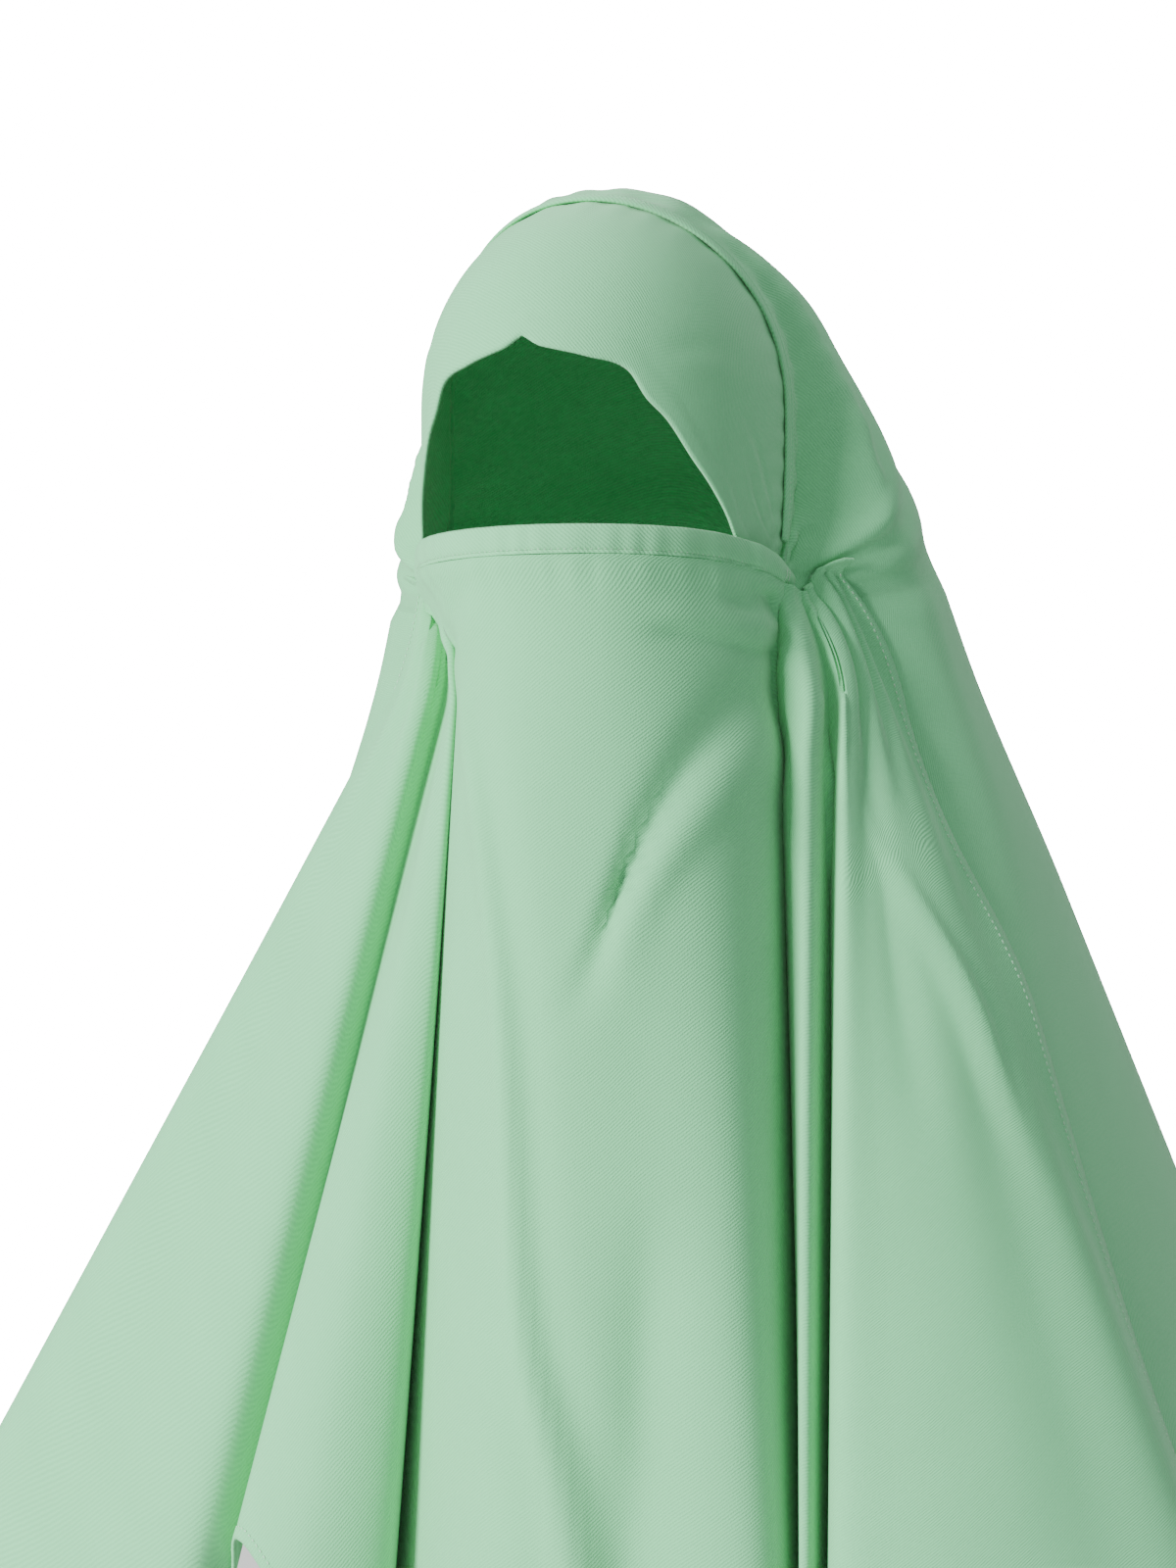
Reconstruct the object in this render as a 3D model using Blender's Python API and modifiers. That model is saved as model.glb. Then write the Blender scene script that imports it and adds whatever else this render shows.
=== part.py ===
"""Khimar veil: a hood that falls behind as a cape, and one front cloth gathered at both ears.

Metres, +Z up, the wearer's front towards -Y. The origin is the inside of the crown.
Turns are measured about the vertical axis from the front, positive to the wearer's left (+X).
"""

import math

import bmesh
import bpy
from mathutils import Vector

# Cloth
WALL = 0.0014
SEAM_GAP = 0.0003
LAYER = WALL + SEAM_GAP

# Head that the veil is cut for
HEAD_HALF_WIDTH = 0.0765
HEAD_FRONT_REACH = 0.0965
DOME_DEPTH = 0.090
EAR_DROP = 0.156
EAR_SET_FORWARD = 0.012

# Hood and cape
HOOD_DEPTH = 0.117
HOOD_HALF_WIDTH = 0.112
HOOD_HALF_DEPTH = 0.126
HOOD_SET_BACK = 0.033
CAPE_LENGTH = 0.680
CAPE_HALF_WIDTH = 0.318
CAPE_HALF_DEPTH = 0.224
CAPE_SET_BACK = 0.096
CAPE_SIDE_RISE = 0.050
EAR_GATHER = 0.020
PUFF_REACH = 0.035
PUFF_FALL = 0.200
PUFF_LIFT = 0.030
EDGE_FLAT = 0.003
FLUTE_COUNT = 7
FLUTE_DEPTH = 0.013
SIDE_LEAD = math.radians(1.5)
EDGE_MARGIN = math.radians(4.0)
DRAPE_CLEARANCE = 0.0029
DRAPE_SOFTNESS = 0.006
EAR_CROWDING = 0.35

# Bands round the face
ARCH_CROWN_LEAN = math.radians(13.0)
ARCH_EAR_LEAN = math.radians(-6.0)
ARCH_ROUNDNESS = 4.5
EDGE_BAND_WIDTH = 0.0065
EDGE_BAND_RISE = 6.0
EDGE_SEAM = 0.0008
BAND_TUCK = 0.005
SHORTEST_ARM = 0.025
CASING_DROP = 0.148
CASING_WIDTH = 0.0106
CASING_DIP = 0.014
CASING_TURN = math.radians(85.0)
OVERLAP_TURN = math.radians(62.0)

# Front cloth
FRONT_LENGTH = 0.655
NECK_DROP = 0.215
NECK_HALF_WIDTH = 0.120
NECK_REACH = 0.095
HEM_LEVEL = 0.620
HEM_HALF_WIDTH = 0.335
HEM_REACH = 0.115
GATHER_TURN = math.radians(100.0)
GATHER_WIDTH = 0.012
GATHER_RISE = 0.014
GATHER_FLARE = 0.90

# Colour of the crepe and of the bands cut from it
SAGE = (0.40, 0.62, 0.46, 1.0)
SAGE_BAND = (0.43, 0.65, 0.49, 1.0)

# Dome of the hood: drop from the crown, half width, half depth and set-back, as shares of the hood's own
HOOD_ROWS = (
    # drop, width, depth, set_back
    (0.000, 0.000, 0.000, 0.00),
    (0.034, 0.268, 0.286, 0.00),
    (0.085, 0.357, 0.397, 0.00),
    (0.150, 0.437, 0.492, 0.06),
    (0.214, 0.527, 0.595, 0.18),
    (0.368, 0.679, 0.762, 0.39),
    (0.564, 0.786, 0.873, 0.61),
    (0.769, 0.884, 0.952, 0.85),
    (1.000, 1.000, 1.000, 1.00),
)

# Cape: drop below the dome as a share of its length, and how much of the way from hood size to hem size
CAPE_ROWS = (
    # drop, width, depth, set_back
    (0.000, 0.000, 0.000, 0.00),
    (0.076, 0.058, 0.194, 0.19),
    (0.160, 0.126, 0.347, 0.40),
    (0.313, 0.286, 0.561, 0.71),
    (0.545, 0.529, 0.724, 0.84),
    (1.000, 1.000, 1.000, 1.00),
)

# Face opening: how far the brow edge leans forward of the upright, by angle up from the ear axis, in degrees
BROW_ROWS = (
    # rise, lean
    (1.5, 165.0),
    (8.0, 118.0),
    (16.0, 100.0),
    (24.0, 81.0),
    (30.0, 68.0),
    (38.0, 60.0),
    (47.5, 55.0),
    (56.5, 50.5),
    (63.0, 49.0),
    (68.5, 46.2),
    (77.0, 47.2),
    (86.0, 47.0),
    (90.0, 45.2),
)

# Front cloth, one row for each ridge and valley from the right ear to the left ear of the wearer.
# Turn at the gathered top in degrees, then the place at the neck and at hem level as shares of
# half width and reach, and the hem's drop as a share of the front length.
FOLD_ROWS = (
    # name, top_turn, neck_side, neck_front, hem_side, hem_front, hem_drop
    ("outer edge, right", -100, -0.86, 0.08, -0.95, -0.22, 0.915),
    ("outer ridge, right", -97, -0.83, 0.17, -1.00, 0.36, 0.940),
    ("soft valley, right", -93, -0.69, 0.36, -0.68, 0.71, 0.950),
    ("inner ridge, right", -90, -0.61, 0.40, -0.50, 0.80, 0.940),
    ("outer slot, right", -85, -0.58, 0.29, -0.46, 0.64, 0.900),
    ("strip rim, right", -78, -0.43, 0.50, -0.43, 0.85, 0.851),
    ("strip ridge, right", -70, -0.40, 0.64, -0.31, 0.90, 0.885),
    ("strip inner rim, right", -60, -0.36, 0.71, -0.22, 0.70, 0.925),
    ("inner slot, right", -55, -0.37, 0.66, -0.29, 0.24, 0.945),
    ("cheek, right", -40, -0.25, 0.85, -0.17, 0.62, 0.975),
    ("centre ridge", -8, -0.04, 0.99, 0.02, 0.99, 1.000),
    ("centre hollow", 25, 0.29, 0.93, 0.20, 0.88, 0.995),
    ("shoulder ridge, left", 52, 0.55, 0.65, 0.31, 0.88, 0.980),
    ("veil rim, left", 70, 0.65, 0.40, 0.31, 0.56, 0.970),
    ("veil slot, left", 80, 0.66, 0.19, 0.29, 0.28, 0.955),
    ("strip rim, left", 82, 0.72, 0.28, 0.32, 0.62, 0.955),
    ("strip ridge, left", 85, 0.78, 0.31, 0.345, 0.88, 0.955),
    ("strip valley, left", 87, 0.82, 0.13, 0.343, 0.50, 0.950),
    ("inner ridge, left", 89, 0.89, 0.19, 0.40, 0.96, 0.955),
    ("soft valley, left", 91.5, 0.90, 0.11, 0.48, 0.97, 0.950),
    ("outer ridge, left", 94, 0.94, 0.04, 0.66, 0.80, 0.940),
    ("side, left", 97, 0.97, -0.05, 0.84, 0.39, 0.925),
    ("outer edge, left", 100, 0.98, -0.16, 0.83, 0.10, 0.915),
)

HOOD_COLUMNS = 42
DOME_RINGS = 12
CAPE_RINGS = 13
BAND_COLUMNS = 38
BROW_RINGS = 6
FRONT_RINGS = 22
FOLD_STEP = 0.022


def blend(low, high, share):
    return low + (high - low) * share


def ease(share):
    share = min(max(share, 0.0), 1.0)
    return share * share * share * (share * (6.0 * share - 15.0) + 10.0)


def read_rows(rows, column, at, key=lambda value: value):
    """A smooth curve through one column of a table, read at a value of the first column."""
    knots = [key(row[0]) for row in rows]
    values = [row[column] for row in rows]
    at = min(max(key(at), knots[0]), knots[-1])
    index = 0
    while index < len(rows) - 2 and at > knots[index + 1]:
        index += 1
    slopes = []
    for place in (index, index + 1):
        before = max(place - 1, 0)
        after = min(place + 1, len(rows) - 1)
        slopes.append((values[after] - values[before]) / (knots[after] - knots[before]))
    span = knots[index + 1] - knots[index]
    share = (at - knots[index]) / span
    return (
        values[index] * (1 + 2 * share) * (1 - share) ** 2
        + slopes[0] * span * share * (1 - share) ** 2
        + values[index + 1] * share**2 * (3 - 2 * share)
        - slopes[1] * span * share**2 * (1 - share)
    )


def hood_section(drop):
    """Half width, half depth and set-back of the hood and cape at a drop below the crown."""
    if drop <= HOOD_DEPTH:
        shares = [read_rows(HOOD_ROWS, column, drop / HOOD_DEPTH, math.sqrt) for column in (1, 2, 3)]
        return (
            HOOD_HALF_WIDTH * shares[0],
            HOOD_HALF_DEPTH * shares[1],
            HOOD_SET_BACK * shares[2],
        )
    share = (drop - HOOD_DEPTH) / (CAPE_LENGTH - HOOD_DEPTH)
    shares = [read_rows(CAPE_ROWS, column, share) for column in (1, 2, 3)]
    return (
        blend(HOOD_HALF_WIDTH, CAPE_HALF_WIDTH, shares[0]),
        blend(HOOD_HALF_DEPTH, CAPE_HALF_DEPTH, shares[1]),
        blend(HOOD_SET_BACK, CAPE_SET_BACK, shares[2]),
    )


def inside_hood(point):
    if point.z >= 0.0:
        return False
    half_width, half_depth, set_back = hood_section(-point.z)
    return (point.x / half_width) ** 2 + ((point.y - set_back) / half_depth) ** 2 < 1.0


def head_form(stand_off):
    """A test for the space inside the head, grown on all sides by a stand-off."""

    def inside_head(point):
        drop = stand_off - LAYER - point.z
        if drop <= 0.0:
            return False
        share = 1.0
        if drop < DOME_DEPTH + stand_off:
            share = 1.0 - (1.0 - drop / (DOME_DEPTH + stand_off)) ** 2
        side = (point.x / (HEAD_HALF_WIDTH + stand_off)) ** 2
        return side + (point.y / (HEAD_FRONT_REACH + stand_off)) ** 2 < share

    return inside_head


def reach(start, direction, inside):
    """Distance from a point inside a form to its surface."""
    near, far = 0.0, 1.0
    for _ in range(26):
        middle = (near + far) / 2
        if inside(start + direction * middle):
            near = middle
        else:
            far = middle
    return near


def fan_direction(rise, lean):
    """Direction from the ear axis: rise turns up from +X, lean tips forward from the upright."""
    return Vector((math.cos(rise), -math.sin(rise) * math.sin(lean), math.sin(rise) * math.cos(lean)))


def ear_centre():
    return Vector((0.0, -EAR_SET_FORWARD, -EAR_DROP))


def arch_lean(rise):
    return blend(ARCH_EAR_LEAN, ARCH_CROWN_LEAN, math.sin(rise) ** ARCH_ROUNDNESS)


def lean_of_width(rise, width):
    """The lean that spans a width of cloth at this rise, on the head."""
    arm = head_point(rise, arch_lean(rise), 0.0) - ear_centre()
    return width / max(arm.length * math.sin(rise), SHORTEST_ARM)


def head_point(rise, lean, stand_off):
    start = ear_centre()
    direction = fan_direction(rise, lean)
    return start + direction * reach(start, direction, head_form(stand_off))


def spread_at_ear(rise, share):
    """The height by which rows part at the ear, where they are gathered together."""
    return -EAR_GATHER * share * math.cos(rise) ** 10


def puff_near_ear(back, lift):
    """How far the cloth has left the head, by its distance behind and above or below the ear."""
    upright = lift / PUFF_LIFT if lift > 0.0 else lift / PUFF_FALL
    return ease(math.hypot(back / PUFF_REACH, upright))


def dome_point(rise, share):
    """Hood over the head: share runs from the front edge to the level of the ears."""
    edge = arch_lean(rise) - lean_of_width(rise, EDGE_BAND_WIDTH + EDGE_SEAM)
    lean = blend(edge, -math.pi / 2, share)
    start = ear_centre()
    direction = fan_direction(rise, lean)
    on_head = reach(start, direction, head_form(LAYER))
    on_hood = max(reach(start, direction, inside_hood), on_head)
    arm = on_head * math.sin(rise)
    back = arm * math.sin(-lean)
    lift = arm * math.cos(lean)
    from_edge = (edge - lean) * arm
    puff = min(puff_near_ear(back, lift), ease((from_edge - EDGE_FLAT) * 3.0 / PUFF_REACH))
    point = start + direction * blend(on_head, on_hood, puff)
    point.z += spread_at_ear(rise, share)
    return point


def cape_reach(angle, drop):
    """Distance from the ear axis to the cape along a level line; angle turns back from +X."""
    start = Vector((0.0, -EAR_SET_FORWARD, -drop))
    direction = Vector((math.cos(angle), math.sin(angle), 0.0))
    on_head = reach(start, direction, head_form(LAYER))
    on_hood = max(reach(start, direction, inside_hood), on_head)
    back = max(on_head * math.sin(angle), 0.0)
    return blend(on_head, on_hood, puff_near_ear(back, EAR_DROP - drop))


def side_lead(drop):
    """How far in front of the ear axis the cape's side edge lies, as an angle."""
    return SIDE_LEAD * ease((drop - EAR_DROP) / EAR_DROP)


def cape_point(rise, share):
    """Cape below the ears: share runs from the level of the ears to the hem."""
    top = EAR_DROP - spread_at_ear(rise, 1.0)
    hem = CAPE_LENGTH - CAPE_SIDE_RISE * abs(math.cos(rise)) ** 3
    drop = blend(top, hem, share)
    lead = side_lead(drop)
    angle = blend(-lead, math.pi + lead, rise / math.pi)
    distance = cape_reach(angle, drop)
    window = math.sin(rise) ** 2
    distance += FLUTE_DEPTH * share**1.3 * window * math.cos(rise * 2 * FLUTE_COUNT)
    return Vector((distance * math.cos(angle), -EAR_SET_FORWARD + distance * math.sin(angle), -drop))


def casing_line(turn, low):
    """Top or, with low as 1, bottom line of the casing, as a drop below the crown."""
    share = min(abs(turn) / CASING_TURN, 1.0)
    width = CASING_WIDTH * (1.0 - 0.45 * share**8)
    return CASING_DROP + CASING_DIP * share**6 + width * low


def face_point(turn, drop):
    """On the face at a turn: over the brow band, and at the ears over the hood's edge too."""
    stand_off = LAYER * (1.0 + 1.6 * ease((abs(turn) - OVERLAP_TURN) / (CASING_TURN - OVERLAP_TURN) * 2.0))
    return Vector(
        (
            (HEAD_HALF_WIDTH + stand_off) * math.sin(turn),
            -(HEAD_FRONT_REACH + stand_off) * math.cos(turn),
            -drop,
        )
    )


def gather_point(turn):
    """Top edge of the front cloth: under the casing, then back over the ear."""
    if abs(turn) <= CASING_TURN:
        return face_point(turn, casing_line(turn, 1.0) + 2 * SEAM_GAP)
    side = math.copysign(1.0, turn)
    end = face_point(side * CASING_TURN, casing_line(CASING_TURN, 1.0) + 2 * SEAM_GAP)
    share = (abs(turn) - CASING_TURN) / (GATHER_TURN - CASING_TURN)
    back = GATHER_WIDTH * share
    lift = GATHER_RISE * ease((share - 0.25) * 2.0)
    return end + Vector((side * back * GATHER_FLARE, back, lift))


def over_cape(point):
    """The same point, moved out where it would sink into the cape."""
    drop = -point.z
    away = Vector((point.x, point.y + EAR_SET_FORWARD, 0.0))
    angle = math.atan2(away.y, abs(away.x))
    lead = side_lead(drop)
    fade = ease((angle + lead + EDGE_MARGIN) / EDGE_MARGIN * 1.5)
    if fade == 0.0 or drop < EAR_DROP - EAR_GATHER:
        return point
    gathered = EAR_GATHER / 2 * (1.0 - ease((drop - EAR_DROP) / EAR_GATHER))
    least = cape_reach(max(angle, -lead), drop - gathered) + WALL + DRAPE_CLEARANCE
    shortage = least - away.length
    if abs(shortage) < DRAPE_SOFTNESS:
        shortage = (shortage + DRAPE_SOFTNESS) ** 2 / (4 * DRAPE_SOFTNESS)
    away = away.normalized() * (away.length + max(shortage, 0.0) * fade)
    return Vector((away.x, away.y - EAR_SET_FORWARD, point.z))


def fold_point(row, share):
    """One ridge or valley of the front cloth, from its gathered top to the hem."""
    _, top_turn, neck_side, neck_front, hem_side, hem_front, hem_drop = row
    top = gather_point(math.radians(top_turn))
    hem = FRONT_LENGTH * hem_drop
    drop = blend(-top.z, hem, share)
    neck = Vector((NECK_HALF_WIDTH * neck_side, -NECK_REACH * neck_front, 0.0))
    low = Vector((HEM_HALF_WIDTH * hem_side, -HEM_REACH * hem_front, 0.0))
    steady = (low - neck) / (HEM_LEVEL - NECK_DROP)
    if drop >= NECK_DROP:
        place = neck + steady * (drop - NECK_DROP)
    else:
        height = NECK_DROP + top.z
        at = drop + top.z
        start = Vector((top.x, top.y, 0.0))
        quick = (neck - start) * (2.0 / height) - steady
        place = start + quick * at + (steady - quick) * (at * at / (2.0 * height))
    return Vector((place.x, place.y, -drop))


def smooth_through(points, steps):
    """A curve through the points, with a number of steps between each pair."""
    lengths = [(after - before).length for before, after in zip(points, points[1:])]
    slopes = []
    for index, point in enumerate(points):
        if index == 0:
            slopes.append((points[1] - point) / lengths[0])
        elif index == len(points) - 1:
            slopes.append((point - points[index - 1]) / lengths[-1])
        else:
            before = (point - points[index - 1]) / lengths[index - 1]
            after = (points[index + 1] - point) / lengths[index]
            share = lengths[index - 1] / (lengths[index - 1] + lengths[index])
            slopes.append(before.lerp(after, share))
    curve = []
    for index, count in enumerate(steps):
        for step in range(count):
            share = step / count
            length = lengths[index]
            curve.append(
                points[index] * ((1 + 2 * share) * (1 - share) ** 2)
                + slopes[index] * (length * share * (1 - share) ** 2)
                + points[index + 1] * (share**2 * (3 - 2 * share))
                - slopes[index + 1] * (length * share**2 * (1 - share))
            )
    curve.append(points[-1])
    return curve


def front_rows():
    """Rows of points of the front cloth, from the gathered top to the hem."""
    low = [fold_point(row, 1.0) for row in FOLD_ROWS]
    steps = [max(2, round((after - before).length / FOLD_STEP)) for before, after in zip(low, low[1:])]
    rows = []
    for ring in range(FRONT_RINGS + 1):
        share = (ring / FRONT_RINGS) ** 1.5
        points = [fold_point(row, share) for row in FOLD_ROWS]
        if ring == 0:
            curve = top_edge(steps)
        else:
            curve = smooth_through(points, steps)
        rows.append([over_cape(point) for point in curve])
    return rows


def top_edge(steps):
    """The front cloth's top edge follows the casing exactly, between the folds too."""
    turns = [math.radians(row[1]) for row in FOLD_ROWS]
    points = []
    for index, count in enumerate(steps):
        for step in range(count):
            points.append(gather_point(blend(turns[index], turns[index + 1], step / count)))
    points.append(gather_point(turns[-1]))
    return points


def hood_rows():
    shares = [column / HOOD_COLUMNS for column in range(HOOD_COLUMNS + 1)]
    rises = [math.pi * share - EAR_CROWDING / 2 * math.sin(2 * math.pi * share) for share in shares]
    rows = []
    for ring in range(DOME_RINGS + 1):
        rows.append([dome_point(rise, (ring / DOME_RINGS) ** 1.5) for rise in rises])
    for ring in range(1, CAPE_RINGS + 1):
        rows.append([cape_point(rise, ring / CAPE_RINGS) for rise in rises])
    return rows


def fan_columns(first_rise):
    first = math.radians(first_rise)
    return [blend(first, math.pi - first, column / BAND_COLUMNS) for column in range(BAND_COLUMNS + 1)]


def brow_rows():
    rows = []
    for ring in range(BROW_RINGS + 1):
        row = []
        for rise in fan_columns(BROW_ROWS[0][0]):
            up = math.degrees(min(rise, math.pi - rise))
            open_lean = math.radians(read_rows(BROW_ROWS, 1, up))
            tucked = arch_lean(rise) - lean_of_width(rise, BAND_TUCK)
            row.append(head_point(rise, blend(tucked, open_lean, ring / BROW_RINGS), 0.0))
        rows.append(row)
    return rows


def edge_band_rows():
    rows = []
    for share in (1.0, 0.5, 0.0):
        row = []
        for rise in fan_columns(EDGE_BAND_RISE):
            lean = arch_lean(rise) - lean_of_width(rise, EDGE_BAND_WIDTH * share)
            row.append(head_point(rise, lean, WALL + SEAM_GAP))
        rows.append(row)
    return rows


def casing_rows():
    rows = []
    for low in (0.0, 0.5, 1.0):
        row = []
        for column in range(BAND_COLUMNS + 1):
            turn = blend(CASING_TURN, -CASING_TURN, column / BAND_COLUMNS)
            row.append(face_point(turn, casing_line(turn, low)))
        rows.append(row)
    return rows


def crepe(name, colour):
    material = bpy.data.materials.new(name)
    material.use_nodes = True
    shader = material.node_tree.nodes["Principled BSDF"]
    shader.inputs["Base Color"].default_value = colour
    shader.inputs["Roughness"].default_value = 0.9
    shader.inputs["Metallic"].default_value = 0.0
    return material


def cloth(name, rows, material, collection):
    """A sheet through rows of points, with its wall added on the outer side."""
    shape = bmesh.new()
    grid = [[shape.verts.new(point) for point in row] for row in rows]
    for upper, lower in zip(grid, grid[1:]):
        for column in range(len(upper) - 1):
            shape.faces.new((upper[column], upper[column + 1], lower[column + 1], lower[column]))
    mesh = bpy.data.meshes.new(name)
    shape.normal_update()
    shape.to_mesh(mesh)
    shape.free()
    mesh.shade_smooth()
    mesh.materials.append(material)
    piece = bpy.data.objects.new(name, mesh)
    collection.objects.link(piece)
    wall = piece.modifiers.new("wall", "SOLIDIFY")
    wall.thickness = WALL
    wall.offset = 1.0
    wall.use_quality_normals = True
    return piece


def build():
    for thing in list(bpy.data.objects):
        bpy.data.objects.remove(thing, do_unlink=True)
    collection = bpy.data.collections.new("khimar_veil")
    bpy.context.scene.collection.children.link(collection)
    body_crepe = crepe("sage crepe", SAGE)
    band_crepe = crepe("sage crepe, bands", SAGE_BAND)
    cloth("hood_cape", [row[::-1] for row in hood_rows()], body_crepe, collection)
    cloth("front_veil", [row[::-1] for row in front_rows()], body_crepe, collection)
    cloth("brow_band", brow_rows(), band_crepe, collection)
    cloth("hood_edge_band", edge_band_rows(), band_crepe, collection)
    cloth("veil_casing", casing_rows(), band_crepe, collection)


build()
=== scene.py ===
"""Khimar veil of sage-green crepe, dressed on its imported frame.

Metres, +Z up, the wearer's front towards -Y, the origin at the inside of the crown.
Turns are measured about the vertical axis from the front, positive to the wearer's left (+X).
"""

import math

import bmesh
import bpy
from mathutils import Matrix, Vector


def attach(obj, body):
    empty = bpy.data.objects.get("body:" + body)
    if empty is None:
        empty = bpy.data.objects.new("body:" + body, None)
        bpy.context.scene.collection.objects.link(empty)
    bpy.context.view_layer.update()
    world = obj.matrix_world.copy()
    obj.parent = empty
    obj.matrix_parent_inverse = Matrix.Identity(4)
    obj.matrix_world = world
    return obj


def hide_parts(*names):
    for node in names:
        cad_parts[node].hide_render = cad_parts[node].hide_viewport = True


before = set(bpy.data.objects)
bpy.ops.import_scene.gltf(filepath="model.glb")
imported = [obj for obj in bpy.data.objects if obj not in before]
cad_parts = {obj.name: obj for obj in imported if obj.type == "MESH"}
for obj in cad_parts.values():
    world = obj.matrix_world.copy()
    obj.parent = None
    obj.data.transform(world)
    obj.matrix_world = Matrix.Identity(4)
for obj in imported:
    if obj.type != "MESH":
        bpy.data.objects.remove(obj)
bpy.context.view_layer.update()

# Camera
# It stands level with the neck, a little to the wearer's left of the front.
VIEW_TURN = math.radians(23.0)
VIEW_DISTANCE = 0.963
VIEW_SIDE = -0.0117
VIEW_DROP = 0.247
SENSOR_HEIGHT = 36.0
FOCAL_PIXELS = 2310.0
PICTURE_HEIGHT = 1600.0

forward = Vector((-math.sin(VIEW_TURN), math.cos(VIEW_TURN), 0.0))
sideways = Vector((math.cos(VIEW_TURN), math.sin(VIEW_TURN), 0.0))
camera_data = bpy.data.cameras.new("camera")
camera_data.sensor_fit = "VERTICAL"
camera_data.sensor_height = SENSOR_HEIGHT
camera_data.lens = FOCAL_PIXELS / PICTURE_HEIGHT * SENSOR_HEIGHT
camera_data.clip_start = 0.01
camera = bpy.data.objects.new("camera", camera_data)
camera.location = -forward * VIEW_DISTANCE + sideways * VIEW_SIDE - Vector((0.0, 0.0, VIEW_DROP))
camera.rotation_euler = forward.to_track_quat("-Z", "Y").to_euler()
bpy.context.scene.collection.objects.link(camera)
bpy.context.scene.camera = camera

# Floor and light
# A plain pale floor under the hems, a broad lamp at the front left, and a pale surround.
FLOOR_DROP = 0.715
FLOOR_RADIUS = 0.75
FLOOR_COLOUR = (0.86, 0.86, 0.85, 1.0)
SURROUND_COLOUR = (1.0, 1.0, 1.0, 1.0)
SURROUND_STRENGTH = 0.42
BACKDROP_STRENGTH = 20.0

floor_mesh = bpy.data.meshes.new("floor")
floor_shape = bmesh.new()
bmesh.ops.create_circle(floor_shape, cap_ends=True, segments=96, radius=FLOOR_RADIUS)
bmesh.ops.translate(floor_shape, verts=floor_shape.verts, vec=(0.0, 0.0, -FLOOR_DROP))
floor_shape.to_mesh(floor_mesh)
floor_shape.free()
floor = bpy.data.objects.new("floor", floor_mesh)
bpy.context.scene.collection.objects.link(floor)
floor_paint = bpy.data.materials.new("pale floor")
floor_paint.use_nodes = True
floor_paint.node_tree.nodes["Principled BSDF"].inputs["Base Color"].default_value = FLOOR_COLOUR
floor_paint.node_tree.nodes["Principled BSDF"].inputs["Roughness"].default_value = 0.9
floor_mesh.materials.append(floor_paint)

surround = bpy.data.worlds.new("surround")
surround.use_nodes = True
ambient = surround.node_tree.nodes["Background"]
ambient.inputs["Color"].default_value = SURROUND_COLOUR
ambient.inputs["Strength"].default_value = SURROUND_STRENGTH
backdrop = surround.node_tree.nodes.new("ShaderNodeBackground")
backdrop.inputs["Color"].default_value = SURROUND_COLOUR
backdrop.inputs["Strength"].default_value = BACKDROP_STRENGTH
seen = surround.node_tree.nodes.new("ShaderNodeLightPath")
either = surround.node_tree.nodes.new("ShaderNodeMixShader")
surround.node_tree.links.new(seen.outputs["Is Camera Ray"], either.inputs["Fac"])
surround.node_tree.links.new(ambient.outputs["Background"], either.inputs[1])
surround.node_tree.links.new(backdrop.outputs["Background"], either.inputs[2])
world_output = surround.node_tree.nodes["World Output"]
surround.node_tree.links.new(either.outputs["Shader"], world_output.inputs["Surface"])
bpy.context.scene.world = surround

LAMPS = (
    # name, place, power, size
    ("front left lamp", (-1.25, -1.95, 0.30), 112.0, 0.8),
    ("top lamp", (0.2, 0.2, 1.6), 14.0, 1.0),
)
for name, place, power, size in LAMPS:
    lamp_data = bpy.data.lights.new(name, "AREA")
    lamp_data.energy = power
    lamp_data.size = size
    lamp = bpy.data.objects.new(name, lamp_data)
    lamp.location = place
    lamp.rotation_euler = (Vector((0.0, 0.0, -0.3)) - lamp.location).to_track_quat("-Z", "Y").to_euler()
    bpy.context.scene.collection.objects.link(lamp)

# Crepe
# One matte polyester crepe for all pieces: a fine steep twill line, a pebbled yarn, faint uneven dye.
# The weave follows each piece's own cut, in metres, kept in its UV map.
SAGE = (0.19, 0.66, 0.31, 1.0)
SAGE_BAND = (0.20, 0.67, 0.32, 1.0)
THREAD_COLOUR = (0.50, 0.86, 0.60, 1.0)
TWILL_ANGLE = math.radians(38.0)
TWILL_PITCH = 0.0012
PEBBLES_PER_METRE = 1500.0
DYE_PER_METRE = 22.0


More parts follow.
